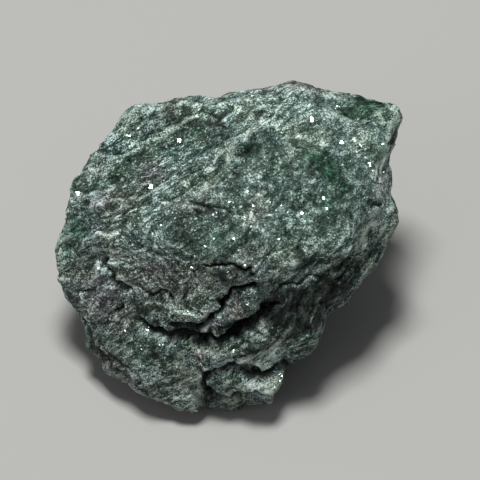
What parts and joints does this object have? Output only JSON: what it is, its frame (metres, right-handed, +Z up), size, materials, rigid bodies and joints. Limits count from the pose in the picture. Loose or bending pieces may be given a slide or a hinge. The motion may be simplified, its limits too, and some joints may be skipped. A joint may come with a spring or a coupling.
{
  "type": "fuchsite stone",
  "caption": "Rough chunk of fuchsite mica schist with a bulging slab, stepped flank and cracks; display stone that rests on a flat spot.",
  "frame": {"origin": "under the middle of the bounding box, on the plane the stone rests on", "axes": "+Z up, away from the flat spot; +X along the longest way across; the cracked side faces -Y"},
  "size_m": [0.0586, 0.05, 0.0432],
  "materials": {
    "schist": "rough broken mica schist, speckled dark green, sage and grey, with small shining flakes"
  },
  "bodies": {
    "root": {"fuchsite_stone": "schist"}
  },
  "joints": []
}
